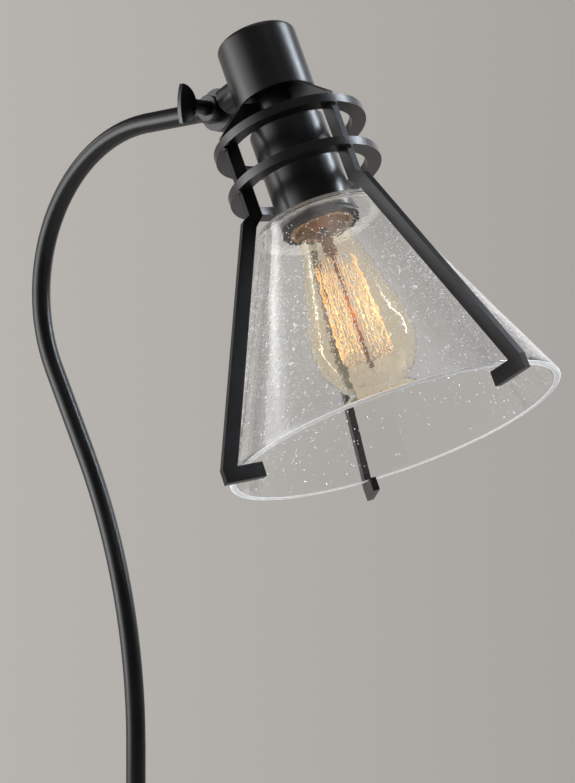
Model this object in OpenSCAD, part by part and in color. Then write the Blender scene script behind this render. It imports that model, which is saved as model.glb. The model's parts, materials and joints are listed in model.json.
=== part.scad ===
// Floor lamp with an S-curved arm and a tilting caged glass head.
// Origin: centre of the base's underside. +Z is up and the head reaches towards +X.
// The head is drawn in its own frame: origin at the centre of the shade's mouth, +Z along its axis.

/* [Shade] */
// Outer diameter of the glass at its open mouth
shade_d = 204; // [180:1:230]
// Outer diameter of the glass at its flat top
shade_top_d = 80; // [72:1:96]
// Height of the glass
shade_h = 142; // [120:1:170]
// Thickness of the glass
glass_t = 4; // [3:0.5:6]
// Radius of the glass's top corner, outside
shade_corner = 6; // [5:0.5:9]

/* [Bulb] */
// Largest diameter of the bulb
bulb_d = 64; // [56:1:70]
// Length of the bulb's glass, from its tip to its screw cap
bulb_len = 114; // [100:1:125]
// Distance from the tip to the widest place
bulb_belly = 37; // [32:1:44]
// Diameter of the bulb's neck
bulb_neck_d = 27; // [24:0.5:29]
// Thickness of the bulb's glass
bulb_t = 0.9; // [0.6:0.1:1.4]
// Diameter of the bulb's screw cap
bulb_cap_d = 26; // [25:0.1:27]
// Length of the bulb's screw cap
bulb_cap_h = 24; // [20:0.5:27]
// Number of filament strands
strands = 20; // [8:2:24]

/* [Cage] */
// Outer diameter of the two rings
ring_d = 96.4; // [90:0.2:104]
// Radial width of the rings
ring_w = 9; // [7:0.1:11]
// Thickness of the rings
ring_t = 5.5; // [4:0.1:7]
// Height of the lower ring above the glass
ring_lift = 24.4; // [18:0.2:30]
// Step from the lower ring to the upper one
ring_pitch = 29; // [22:0.5:32]
// Width of the strap plates
strap_w = 8.6; // [7:0.1:11]
// Thickness of the strap plates
strap_t = 4.4; // [3:0.1:6]
// Radial gap between the glass and the straps
strap_gap = 4.2; // [2:0.1:7]
// Reach of the hooks under the glass, from the back of the strap
hook_len = 25; // [20:0.5:32]
// Angle of the middle strap about the head's axis
strap_angle = -112; // [-180:0.5:180]
// Angle from the middle strap to the front one
front_step = 99.5; // [90:0.5:120]
// Angle from the middle strap to the rear one
rear_step = 108; // [90:0.5:120]

/* [Head] */
// Tilt of the head's axis from vertical
tilt = 24.3; // [0:0.1:80]
// Diameter of the socket cup
cup_d = 47.4; // [46.5:0.1:56]
// Height of the socket cup
cup_h = 64; // [60:0.5:76]
// Wall of the socket cup and of the cap
shell_t = 1.5; // [1:0.1:2]
// Visible height of the neck between the cup and the cap
neck_h = 17.7; // [14:0.1:24]
// Diameter of the neck
neck_d = 30; // [26:0.5:36]
// Diameter of the cap
cap_d = 50.8; // [48:0.2:60]
// Height of the cap
cap_h = 43.7; // [40:0.1:54]
// Radius of the cap's top edge
cap_edge = 2.5; // [1.5:0.1:5]

/* [Socket] */
// Diameter of the socket's threaded skirt
skirt_d = 39.6; // [38:0.1:41]
// Outer diameter of the shade ring
shade_ring_d = 48.4; // [46:0.2:56]
// Height of the shade ring
shade_ring_h = 2.5; // [2:0.1:6]
// Height of the socket above the glass
socket_h = 44; // [41:0.5:48]
// Diameter of the threaded nipples
nipple_d = 10; // [9:0.1:11]
// Bore of the threaded nipples
nipple_bore = 7; // [6:0.1:7.4]

/* [Swivel] */
// Distance from the cap's wall to the tilt axis
pivot_out = 21.2; // [19:0.1:28]
// Diameter of the head half's barrel
barrel_d = 27; // [24:0.5:30]
// Width of the barrel along the tilt axis
barrel_w = 12; // [10:0.5:15]
// Diameter of the arm half's eye
eye_d = 16.4; // [14:0.1:18]
// Width of the arm half's eye along the tilt axis
eye_w = 8; // [6:0.1:9]
// Diameter of the head half's neck, between the eye and the cap
swivel_neck_d = 18; // [16:0.5:22]
// Length of the arm half's plug inside the tube
plug_len = 14; // [10:0.5:20]
// Diameter of the clamping screw
screw_d = 6; // [5:0.1:7]
// Length of the thumb screw's collar, from the eye to the paddle
collar_h = 12.5; // [8:0.5:16]
// Height of the half-round thumb paddle
paddle_d = 24.8; // [20:0.2:28]
// Thickness of the thumb paddle
paddle_t = 3; // [2:0.1:4]
// How far the paddle's outer edge bulges
paddle_bulge = 2; // [1:0.1:4]

/* [Arm] */
// Diameter of the arm's tube
tube_d = 13; // [12:0.1:14.5]
// Wall of the arm's tube and of the pole
tube_t = 1.2; // [1:0.1:1.5]
// Straight foot of the arm above the switch housing
foot_len = 93; // [60:1:160]
// Radius of the long lower bend
lean_r = 400; // [300:1:500]
// Angle through which the lower bend leans back
lean_a = 28.7; // [20:0.1:36]
// Straight stretch between the two bends
mid_len = 66; // [40:1:100]
// Radius of the upper bend
top_r = 108.4; // [90:0.1:130]
// Rise of the arm's end above level
end_rise = 2.2; // [0:0.1:6]
// Length from the upper bend to the tilt axis
end_len = 62.7; // [55:0.1:90]

/* [Pole] */
// Diameter of the pole
pole_d = 19; // [17:0.1:22]
// Length of each of the pole's two sections
pole_len = 440; // [300:1:520]
// Length of the sleeve that joins the sections
sleeve_len = 60; // [40:1:90]

/* [Switch] */
// Diameter of the switch housing
housing_d = 36; // [34:0.5:42]
// Height of the switch housing
housing_h = 72; // [66:1:90]
// Depth to which the pole and the arm enter the housing
housing_seat = 14; // [10:0.5:16]
// Diameter of the switch knob
knob_d = 19; // [16:0.5:22]
// Length of the switch knob
knob_h = 13; // [10:0.5:18]
// Number of grip flutes round the knob
flutes = 12; // [8:1:18]

/* [Base] */
// Diameter of the base
base_d = 260; // [220:1:320]
// Height of the base's edge above the floor
base_h = 22; // [20:0.5:30]
// Rise of the base's top from the edge to the middle
base_rise = 5; // [2:0.5:10]
// Radius of the base's top edge
base_edge = 6; // [3:0.5:9]
// Thickness of the base cover
cover_t = 1.5; // [1:0.1:2.5]
// Thickness of the felt pad
pad_t = 3; // [2:0.5:5]
// Diameter of the flange at the pole's foot
flange_d = 46; // [38:0.5:60]
// Outer diameter of the cord grommet
grommet_d = 12; // [10:0.5:13]

/* [Hidden] */
$fn = 96;
// Clearance of a fixed fit, a running fit and two faces that only pass each other
fit = 0.05;
run = 0.05;
pass = 0.4;
// Overshoot of a cut past the face it opens
cut = 1;
// How much thinner a bend of the arm is than its straights, on the radius
bend_thin = 0.06;

// Levels in the head's frame, up from the shade's mouth
glass_in = shade_h - glass_t;
cup_top = shade_h + cup_h;
cap_bot = cup_top + neck_h;
cap_top = cap_bot + cap_h;
cone = (shade_d - shade_top_d) / 2 / shade_h;
cone_cos = cos(atan(cone));
ring_z = [shade_h + ring_lift, shade_h + ring_lift + ring_pitch];
ring_top = ring_z[1] + ring_t;
socket_top = shade_h + socket_h;
skirt_show = 0.5;
skirt_bot = glass_in - shade_ring_h - skirt_show;
plate_t = 3;
plate_lift = 2;
plate_z = cap_bot + plate_lift;
nut_h = 4;
nut_af = 1.5 * nipple_d;
nipple_show = 3;
nipple_top = plate_z + plate_t + nut_h + nipple_show;
nipple_seat = 8;
cap_roof = 2;
lead_d = 4;
lead_bore = lead_d + 1;
mains_d = 5;

// Strap profile
strap_inset = 1.6;
strap_out = ring_d / 2 - strap_inset;
strap_in = strap_out - strap_w;
lap_r = ring_d / 2 - ring_w / 2;
leg_in = shade_d / 2 + strap_gap;
leg_out = leg_in + strap_w / cone_cos;
strap_angles = [strap_angle, strap_angle + front_step, strap_angle - rear_step];

// Bulb levels
bulb_neck_z = glass_in + 1;
bulb_tip_z = bulb_neck_z - bulb_len;
bore_d = bulb_cap_d + 2;
cap_tip_z = bulb_neck_z + bulb_cap_h;
shell_z = bulb_neck_z + pass;
contact_gap = 2;
contact_h = 6;
// The filament's ends above the bulb's tip, its wires and the glass stem that carries them
fil_low = bulb_belly - 11;
fil_high = bulb_len - 28;
fil_low_r = 15.5;
fil_high_r = 12.5;
fil_d = 0.5;
support_d = 0.4;
support_rise = 4;
stem_d = 3;
stem_over = 3;
stem_bead = 4.5;

// Levels of the base and the pole
cover_z = pad_t / 2;
base_top = base_h + base_rise;
weight_gap = 0.5;
weight_top = base_h - cover_t - weight_gap;
pad_gap = 1;
least_edge = 0.5;
grommet_lift = 1;
grommet_z = pad_t + grommet_d / 2 + grommet_lift;
grommet_lip = 2;
grommet_wall = 1.5;
grommet_neck_d = grommet_d - 2 * grommet_wall;
grommet_h = 2 * grommet_lip + cover_t;
pocket_d = 44;
pocket_h = 9;
pocket_z = pad_t + pocket_h;
base_washer_t = 1.5;
base_washer_gap = 6;
base_nipple_low = 1.5;
base_nipple_grip = 16;
flange_h = 9;
flange_edge = 2;
flange_lip = 2.5;
pole_seat = 2;
pole_z = base_top + pole_seat;
insert_len = 20;
sleeve_wall = 2.5;
seam_z = pole_z + pole_len;
pole_top = seam_z + pole_len;
housing_z = pole_top - housing_seat;
housing_top = housing_z + housing_h;
arm_z = housing_top - housing_seat;
switch_z = (pole_top + arm_z) / 2;

// Points of the arm's centreline in the XZ plane
bend_z = housing_top + foot_len;
head_a = 90 - end_rise;
lean_end = [-lean_r * (1 - cos(lean_a)), bend_z + lean_r * sin(lean_a)];
mid_end = lean_end + mid_len * [-sin(lean_a), cos(lean_a)];
top_c = mid_end + top_r * [cos(lean_a), sin(lean_a)];
top_end = top_c + top_r * [-cos(head_a), sin(head_a)];
pivot = top_end + end_len * [sin(head_a), cos(head_a)];

// Swivel, measured from the tilt axis
pivot_r = cap_d / 2 + pivot_out;
pivot_s = (cap_bot + cap_top) / 2;
washer_t = 1;
eye_face = -washer_t - run - eye_w;
stub_gap = 1;
stub_end = barrel_d / 2 + stub_gap;
stub_len = 4;
tube_stop = stub_end + stub_len;
plug_d = tube_d - 2 * tube_t - 2 * fit;
collar_d = 1.5 * screw_d;
collar_sink = 0.8;
screw_floor = 2;
neck_gap = 1.3;
neck_start = max(eye_d, collar_d) / 2 + neck_gap;
paddle_root = 2.2;
spigot_d = 13;
spigot_len = 12;
swivel_nut_af = 18;
swivel_nut_h = 4;

// Switch, measured from the pole's axis
housing_wall = 3;
cavity_d = housing_d - 2 * housing_wall;
housing_foot = 7;
housing_shoulder = 9;
spot_depth = 1.6;
spot_y = housing_d / 2 - spot_depth;
spot_d = knob_d + 4;
body_w = 17;
body_d = 11;
body_h = 22;
bush_d = 9.8;
bush_show = 4;
bush_out = spot_y + bush_show;
switch_nut_af = 14;
switch_nut_h = 2.5;
shaft_d = 5;
shaft_floor = 2;

// Helpers

// Puts what is drawn in the head's frame in its place on the arm
module on_head() {
    translate([pivot[0], 0, pivot[1]])
        rotate([0, -tilt, 0])
            translate([pivot_r, 0, -pivot_s])
                children();
}

// Turns a cylinder's axis from +Z to -Y
module along_y() {
    rotate([90, 0, 0])
        children();
}

// Tube with a bore, standing on z = 0
module pipe(d, bore, h) {
    difference() {
        cylinder(d = d, h = h);
        translate([0, 0, -cut])
            cylinder(d = bore, h = h + 2 * cut);
    }
}

// Hexagon nut with a bore, standing on z = 0
module hex_nut(af, bore, h) {
    difference() {
        cylinder(d = af / cos(30), h = h, $fn = 6);
        translate([0, 0, -cut])
            cylinder(d = bore, h = h + 2 * cut);
    }
}

// Half section of a disc with a rounded top edge, for revolving
module edge_profile(r, h, edge) {
    square([r - edge, h]);
    square([r, h - edge]);
    translate([r - edge, h - edge])
        circle(r = edge);
}

// Rod along the arm's centreline, from its foot to a distance before the tilt axis;
// the bends are drawn down by a hair, as a bent tube is, and the straights reach into them
module arm_rod(d, from_z, stop, over = 0) {
    reach = 1;
    bend_d = d - 2 * bend_thin;
    translate([0, 0, from_z - over])
        cylinder(d = d, h = bend_z - from_z + over + reach);
    translate([-lean_r, 0, bend_z])
        rotate([90, 0, 0])
            rotate_extrude(angle = lean_a)
                translate([lean_r, 0])
                    circle(d = bend_d);
    translate([lean_end[0], 0, lean_end[1]])
        rotate([0, -lean_a, 0])
            translate([0, 0, -reach])
                cylinder(d = d, h = mid_len + 2 * reach);
    translate([top_c[0], 0, top_c[1]])
        rotate([90, 0, 0])
            rotate([0, 0, 180 - head_a])
                rotate_extrude(angle = head_a + lean_a)
                    translate([top_r, 0])
                        circle(d = bend_d);
    translate([top_end[0], 0, top_end[1]])
        rotate([0, head_a, 0])
            translate([0, 0, -reach])
                cylinder(d = d, h = end_len - stop + over + reach);
}

// Turns what is drawn along +Z from the tilt axis so that it runs back along the arm's end
module on_arm_end() {
    translate([pivot[0], 0, pivot[1]])
        rotate([0, head_a - 180, 0])
            children();
}

// Base

module base_pad() {
    color("#2b2b2b")
        cylinder(d = base_d - 2 * cover_t - 2 * pad_gap, h = pad_t);
}

module base_weight() {
    color("#3a3a3c")
        difference() {
            translate([0, 0, pad_t])
                cylinder(d = base_d - 2 * cover_t - 2 * base_edge, h = weight_top - pad_t);
            translate([0, 0, pad_t - cut])
                cylinder(d = pocket_d, h = pocket_z - pad_t + cut);
            cylinder(d = nipple_d + 2 * fit, h = base_top);
            translate([-base_d / 2, 0, pad_t])
                rotate([0, 90, 0])
                    cylinder(d = grommet_d, h = base_d / 2);
        }
}

// Half section of the base cover, grown inwards by a wall
module cover_profile(wall) {
    r = base_d / 2 - wall;
    edge = max(base_edge - wall, least_edge);
    polygon([[0, 0], [r, 0], [r, base_h - wall - edge], [r - edge, base_h - wall],
        [flange_d / 2, base_top - wall], [0, base_top - wall]]);
    translate([r - edge, base_h - wall - edge])
        circle(r = edge);
}

module base_cover() {
    color("#1b1b1c")
        difference() {
            rotate_extrude()
                difference() {
                    cover_profile(0);
                    cover_profile(cover_t);
                    square([base_d, cover_z]);
                }
            translate([0, 0, base_top / 2])
                cylinder(d = nipple_d + 2 * fit, h = base_top);
            translate([-base_d / 2 - cut, 0, grommet_z])
                rotate([0, 90, 0])
                    cylinder(d = grommet_neck_d + 2 * fit, h = 2 * cut + cover_t + base_edge);
        }
}

module cord_grommet() {
    color("#141414")
        translate([-base_d / 2, 0, grommet_z])
            rotate([0, 90, 0])
                translate([0, 0, -grommet_lip])
                    difference() {
                        union() {
                            cylinder(d = grommet_d, h = grommet_lip);
                            cylinder(d = grommet_neck_d, h = grommet_h);
                        }
                        translate([0, 0, -cut])
                            cylinder(d = grommet_neck_d - 2 * grommet_wall, h = grommet_h + 2 * cut);
                    }
}

module base_washer() {
    color("silver")
        translate([0, 0, pocket_z - base_washer_t])
            pipe(pocket_d - 2 * base_washer_gap, nipple_d + 2 * fit, base_washer_t);
}

module base_nut() {
    color("silver")
        translate([0, 0, pocket_z - base_washer_t - nut_h])
            hex_nut(nut_af, nipple_d + 2 * fit, nut_h);
}

module base_nipple() {
    low = pocket_z - base_washer_t - nut_h - base_nipple_low;
    color("silver")
        translate([0, 0, low])
            pipe(nipple_d, nipple_bore, pole_z + base_nipple_grip - low);
}

// Pole

module pole_flange() {
    color("#1b1b1c")
        translate([0, 0, base_top])
            difference() {
                rotate_extrude()
                    polygon([[0, 0], [flange_d / 2, 0], [flange_d / 2, flange_edge],
                        [pole_d / 2 + flange_lip, flange_h], [0, flange_h]]);
                translate([0, 0, -cut])
                    cylinder(d = nipple_d + 2 * fit, h = flange_h);
                translate([0, 0, pole_seat])
                    cylinder(d = pole_d + 2 * fit, h = flange_h);
            }
}

module pole_insert() {
    color("silver")
        translate([0, 0, pole_z])
            pipe(pole_d - 2 * tube_t - 2 * fit, nipple_d + 2 * fit, insert_len);
}

module pole_lower() {
    color("#1b1b1c")
        translate([0, 0, pole_z])
            pipe(pole_d, pole_d - 2 * tube_t, pole_len);
}

module pole_sleeve() {
    color("silver")
        translate([0, 0, seam_z - sleeve_len / 2])
            pipe(pole_d - 2 * tube_t - 2 * fit, pole_d - 2 * tube_t - 2 * sleeve_wall, sleeve_len);
}

module pole_upper() {
    color("#1b1b1c")
        translate([0, 0, seam_z])
            pipe(pole_d, pole_d - 2 * tube_t, pole_len);
}

module pole_lead() {
    color("#d8d2c4")
        translate([0, 0, pad_t])
            cylinder(d = mains_d, h = switch_z - body_h / 2 - pad_t);
}

// Switch

module switch_housing() {
    r = housing_d / 2;
    color("#1b1b1c")
        difference() {
            translate([0, 0, housing_z])
                rotate_extrude()
                    polygon([[0, 0], [pole_d / 2 + flange_lip, 0], [r, housing_foot],
                        [r, housing_h - housing_shoulder], [tube_d / 2 + flange_lip, housing_h],
                        [0, housing_h]]);
            translate([0, 0, pole_top])
                cylinder(d = cavity_d, h = arm_z - pole_top);
            translate([0, 0, housing_z - cut])
                cylinder(d = pole_d + 2 * fit, h = housing_seat + cut);
            translate([0, 0, arm_z - cut])
                cylinder(d = tube_d + 2 * fit, h = housing_seat + 2 * cut);
            translate([0, 0, switch_z])
                along_y() {
                    cylinder(d = bush_d + 2 * fit, h = housing_d);
                    translate([0, 0, spot_y])
                        cylinder(d = spot_d, h = housing_d);
                }
        }
}

module switch_body() {
    color("#26262a")
        translate([0, 0, switch_z])
            difference() {
                union() {
                    translate([-body_w / 2, -body_d / 2, -body_h / 2])
                        cube([body_w, body_d, body_h]);
                    along_y()
                        cylinder(d = bush_d, h = bush_out);
                }
                along_y()
                    translate([0, 0, -body_d / 2 + shaft_floor])
                        cylinder(d = shaft_d + 2 * run, h = bush_out + body_d);
            }
}

module switch_nut() {
    color("silver")
        translate([0, -spot_y, switch_z])
            along_y()
                hex_nut(switch_nut_af, bush_d + 2 * fit, switch_nut_h);
}

module switch_knob() {
    edge = 1.5;
    flute_d = 2.8;
    flute_out = 0.6;
    flute_base = 3;
    mark_w = 1.2;
    mark_in = 1.5;
    mark_depth = 0.8;
    color("#202022")
        translate([0, 0, switch_z])
            along_y() {
                translate([0, 0, -body_d / 2 + shaft_floor + run])
                    cylinder(d = shaft_d, h = bush_out + body_d / 2);
                translate([0, 0, bush_out + pass])
                    difference() {
                        rotate_extrude()
                            edge_profile(knob_d / 2, knob_h, edge);
                        for (i = [0 : flutes - 1])
                            rotate([0, 0, i * 360 / flutes])
                                translate([knob_d / 2 + flute_out, 0, flute_base])
                                    cylinder(d = flute_d, h = knob_h);
                        translate([-mark_w / 2, mark_in, knob_h - mark_depth])
                            cube([mark_w, knob_d / 2 - 2 * mark_in, mark_depth + cut]);
                    }
            }
}

// Arm

module arm_tube() {
    color("#1b1b1c")
        difference() {
            arm_rod(tube_d, arm_z, tube_stop);
            arm_rod(tube_d - 2 * tube_t, arm_z, tube_stop, cut);
        }
}

module arm_lead() {
    color("#d8d2c4")
        arm_rod(lead_d, switch_z + body_h / 2, tube_stop);
}

// Swivel

// Arm half: the eye, a round shank that tapers to the tube's size, and a plug inside the tube
module swivel_arm_half() {
    blend = 1;
    color("#1b1b1c")
        difference() {
            union() {
                on_arm_end() {
                    translate([0, 0, stub_end])
                        cylinder(d = tube_d, h = stub_len);
                    translate([0, 0, tube_stop - cut])
                        cylinder(d = plug_d, h = plug_len + cut);
                    intersection() {
                        translate([-eye_d / 2, eye_face, 0])
                            cube([eye_d, eye_w, tube_stop - stub_gap]);
                        translate([0, 0, -cut])
                            cylinder(r1 = -eye_face + blend, r2 = tube_d / 2 - blend, h = tube_stop + cut);
                    }
                }
                translate([pivot[0], eye_face + eye_w, pivot[1]])
                    along_y()
                        cylinder(d = eye_d, h = eye_w);
            }
            on_arm_end()
                translate([0, 0, tube_stop])
                    cylinder(d = lead_bore, h = plug_len + cut);
            translate([pivot[0], 0, pivot[1]])
                along_y() {
                    cylinder(d = screw_d + 2 * run, h = 2 * eye_w);
                    translate([0, 0, -eye_face - collar_sink])
                        cylinder(d = collar_d + 2 * pass, h = eye_w);
                }
        }
}

module swivel_head_half() {
    color("#1b1b1c")
        on_head()
            difference() {
                translate([-pivot_r, 0, pivot_s]) {
                    translate([0, barrel_w, 0])
                        along_y()
                            cylinder(d = barrel_d, h = barrel_w);
                    rotate([0, 90, 0]) {
                        translate([0, 0, neck_start])
                            cylinder(d = swivel_neck_d, h = pivot_out - neck_start + shell_t);
                        translate([0, 0, neck_start])
                            cylinder(d = spigot_d, h = pivot_out + spigot_len - neck_start);
                    }
                }
                translate([0, 0, cap_bot - cut])
                    difference() {
                        cylinder(d = cap_d, h = cap_h + 2 * cut);
                        translate([-pivot_r, 0, pivot_s - cap_bot + cut])
                            rotate([0, 90, 0])
                                cylinder(d = spigot_d, h = pivot_r);
                    }
                translate([-pivot_r, barrel_w, pivot_s])
                    along_y()
                        translate([0, 0, screw_floor])
                            cylinder(d = screw_d + 2 * run, h = barrel_w);
                translate([-pivot_r + barrel_d / 2, 0, pivot_s])
                    rotate([0, 90, 0])
                        cylinder(d = lead_bore, h = pivot_r);
            }
}

module swivel_washer() {
    color("#6d6250")
        on_head()
            translate([-pivot_r, 0, pivot_s])
                along_y()
                    pipe(eye_d, screw_d + 2 * run, washer_t);
}

module swivel_nut() {
    corner = swivel_nut_af / 2 / cos(30);
    seat = sqrt(pow(cap_d / 2 - shell_t, 2) - pow(corner, 2));
    color("silver")
        on_head()
            translate([-seat, 0, pivot_s])
                rotate([0, 90, 0])
                    hex_nut(swivel_nut_af, spigot_d + 2 * fit, swivel_nut_h);
}

// Thumb screw: a plain shank, a long collar and a half-round paddle with a bulged outer edge
module thumb_screw() {
    paddle_c = -eye_face + collar_h - paddle_root + paddle_d / 2;
    bulge_r = (pow(paddle_d / 2, 2) + pow(paddle_bulge, 2)) / 2 / paddle_bulge;
    color("#1b1b1c")
        translate([pivot[0], 0, pivot[1]])
            along_y() {
                translate([0, 0, screw_floor + run - barrel_w])
                    cylinder(d = screw_d, h = barrel_w - eye_face);
                translate([0, 0, run - eye_face - collar_sink])
                    cylinder(d = collar_d, h = collar_h + collar_sink - run);
                rotate([90, 0, 90])
                    translate([0, paddle_c, -paddle_t / 2])
                        linear_extrude(paddle_t)
                            intersection() {
                                circle(d = paddle_d);
                                translate([0, paddle_bulge - bulge_r])
                                    circle(r = bulge_r);
                            }
            }
}

// Head

module head_cap() {
    color("#1b1b1c")
        on_head()
            difference() {
                translate([0, 0, cap_bot])
                    rotate_extrude()
                        difference() {
                            edge_profile(cap_d / 2, cap_h, cap_edge);
                            square([cap_d / 2 - shell_t, cap_h - cap_roof]);
                        }
                translate([-cap_d / 2 - cut, 0, pivot_s])
                    rotate([0, 90, 0])
                        cylinder(d = spigot_d + 2 * fit, h = cap_d / 2);
            }
}

module cap_plate() {
    color("#1b1b1c")
        on_head()
            translate([0, 0, plate_z])
                pipe(cap_d - 2 * shell_t - 2 * fit, nipple_d + 2 * fit, plate_t);
}

module cap_nut() {
    color("silver")
        on_head()
            translate([0, 0, plate_z + plate_t])
                hex_nut(nut_af, nipple_d + 2 * fit, nut_h);
}

module head_nipple() {
    color("silver")
        on_head()
            translate([0, 0, socket_top - nipple_seat])
                pipe(nipple_d, nipple_bore, nipple_top - socket_top + nipple_seat);
}

module head_lead() {
    color("#d8d2c4")
        on_head() {
            translate([0, 0, socket_top - nipple_seat])
                cylinder(d = lead_d, h = pivot_s - socket_top + nipple_seat);
            translate([0, 0, pivot_s])
                sphere(d = lead_d);
            translate([0, 0, pivot_s])
                rotate([0, -90, 0])
                    cylinder(d = lead_d, h = cap_d / 2);
        }
}

module neck_spacer() {
    color("#1b1b1c")
        on_head()
            translate([0, 0, cup_top])
                pipe(neck_d, nipple_d + 2 * fit, plate_z - cup_top);
}

module socket_cup() {
    color("#1b1b1c")
        on_head()
            translate([0, 0, shade_h])
                difference() {
                    rotate_extrude()
                        difference() {
                            edge_profile(cup_d / 2, cup_h, shell_t);
                            square([cup_d / 2 - shell_t, cup_h - shell_t]);
                        }
                    cylinder(d = nipple_d + 2 * fit, h = cup_h + cut);
                }
}

// Cage

module cage_ring(level) {
    on_head()
        translate([0, 0, level])
            difference() {
                rotate_extrude()
                    translate([ring_d / 2 - ring_w, 0])
                        square([ring_w, ring_t]);
                for (a = strap_angles)
                    rotate([0, 0, a])
                        translate([0, -strap_t / 2 - fit, -cut])
                            cube([lap_r + fit, strap_t + 2 * fit, ring_t + 2 * cut]);
            }
}

module cage_ring_lower() {
    color("#1b1b1c")
        cage_ring(ring_z[0]);
}

module cage_ring_upper() {
    color("#1b1b1c")
        cage_ring(ring_z[1]);
}

// Plate strap: hook under the glass, leg along the cone, jog, upright through the rings, top arm
module strap(angle) {
    jog_out = shade_h + 7.4;
    jog_in = shade_h + 6.2;
    leg_top_out = shade_h + 4.2;
    leg_top_in = shade_h - 0.9;
    tip = leg_out - hook_len;
    shoulder = ring_top + 2.5;
    arm_in = cup_d / 2 + 5;
    top_z = cap_bot - pass;
    on_head()
        rotate([0, 0, angle])
            rotate([90, 0, 0])
                translate([0, 0, -strap_t / 2])
                    linear_extrude(strap_t)
                        difference() {
                            polygon([
                                [neck_d / 2, top_z],
                                [cap_d / 2, top_z],
                                [strap_out, shoulder],
                                [strap_out, jog_out],
                                [leg_out - cone * leg_top_out, leg_top_out],
                                [leg_out, 0],
                                [leg_out, -strap_w],
                                [tip, -strap_w],
                                [tip, 0],
                                [leg_in, 0],
                                [leg_in - cone * leg_top_in, leg_top_in],
                                [strap_in, jog_in],
                                [strap_in, ring_top],
                                [arm_in, cup_top + pass],
                                [neck_d / 2, cup_top + pass]
                            ]);
                            for (level = ring_z)
                                translate([lap_r - fit, level - fit])
                                    square([ring_w, ring_t + 2 * fit]);
                        }
}

module strap_middle() {
    color("#1b1b1c")
        strap(strap_angles[0]);
}

module strap_front() {
    color("#1b1b1c")
        strap(strap_angles[1]);
}

module strap_rear() {
    color("#1b1b1c")
        strap(strap_angles[2]);
}

// Socket

module socket_body() {
    rim_d = cup_d - 2 * shell_t - 2 * pass;
    rim_h = 4;
    body_wall = 1.5;
    mouth_wall = 2.5;
    color("#3b2416")
        on_head()
            difference() {
                union() {
                    translate([0, 0, skirt_bot])
                        cylinder(d = skirt_d, h = shade_h - skirt_bot);
                    translate([0, 0, shade_h])
                        cylinder(d = rim_d, h = rim_h);
                    translate([0, 0, shade_h])
                        cylinder(d = skirt_d - 2 * body_wall, h = socket_h);
                }
                translate([0, 0, skirt_bot])
                    cylinder(d = bore_d, h = cap_tip_z + contact_gap + contact_h - skirt_bot);
                translate([0, 0, skirt_bot - cut])
                    cylinder(d = skirt_d - 2 * mouth_wall, h = shell_z - skirt_bot + cut);
                translate([0, 0, socket_top - nipple_seat])
                    cylinder(d = nipple_d + 2 * fit, h = nipple_seat + cut);
            }
}

module socket_shell() {
    short = 4;
    color("#b5904a")
        on_head()
            translate([0, 0, shell_z])
                pipe(bore_d - 2 * fit, bulb_cap_d + 4 * fit, bulb_cap_h - short);
}

module socket_contact() {
    leaf_d = 8;
    leaf_t = 1;
    post_d = 4;
    color("#b5904a")
        on_head()
            translate([0, 0, cap_tip_z + contact_gap]) {
                cylinder(d = leaf_d, h = leaf_t);
                cylinder(d = post_d, h = contact_h);
            }
}

module shade_ring() {
    color("#141415")
        on_head()
            translate([0, 0, glass_in - shade_ring_h])
                pipe(shade_ring_d, skirt_d + 2 * fit, shade_ring_h);
}

module glass_shade() {
    r0 = shade_d / 2;
    r1 = shade_top_d / 2;
    wall = glass_t / cone_cos;
    a = atan(cone);
    c_r = r1 + cone * shade_corner - shade_corner / cone_cos;
    in_r = r1 + cone * glass_t - wall;
    color("#dfe6e8")
        on_head()
            rotate_extrude()
                difference() {
                    union() {
                        polygon([[0, 0], [r0, 0],
                            [c_r + shade_corner * cos(a), shade_h - shade_corner * (1 - sin(a))],
                            [c_r, shade_h], [0, shade_h]]);
                        translate([c_r, shade_h - shade_corner])
                            circle(r = shade_corner);
                    }
                    polygon([[0, -cut], [r0 - wall + cone * cut, -cut], [in_r, glass_in],
                        [0, glass_in]]);
                    square([skirt_d / 2 + pass, shade_h + cut]);
                }
}

// Bulb

// Outer radius of the bulb at a height above its tip; its shoulder is drawn in a little
bulb_waist = 0.18;
function bulb_r(z) =
    z < bulb_belly
    ? bulb_d / 2 * sqrt(1 - pow(1 - z / bulb_belly, 2))
    : let (t = (z - bulb_belly) / (bulb_len - bulb_belly), swell = 1 - t * t * (2 - t))
        bulb_neck_d / 2 + (bulb_d - bulb_neck_d) / 2 * swell * (1 - bulb_waist * sin(180 * t));

module bulb_glass() {
    steps = 24;
    low = [for (i = [0 : steps - 1]) bulb_belly * (1 - cos(90 * i / steps))];
    high = [for (i = [0 : steps]) bulb_belly + (bulb_len - bulb_belly) * i / steps];
    zs = concat(low, high);
    outer = [for (z = zs) [bulb_r(z), z]];
    inner = [for (z = zs) [max(bulb_r(z) - bulb_t, 0), max(z, bulb_t)]];
    color("#e8c98a")
        on_head()
            translate([0, 0, bulb_tip_z])
                rotate_extrude()
                    difference() {
                        polygon(concat(outer, [[0, bulb_len]]));
                        polygon(concat(inner, [[bulb_neck_d / 2 - bulb_t, bulb_len + cut],
                            [0, bulb_len + cut]]));
                    }
}

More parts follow.
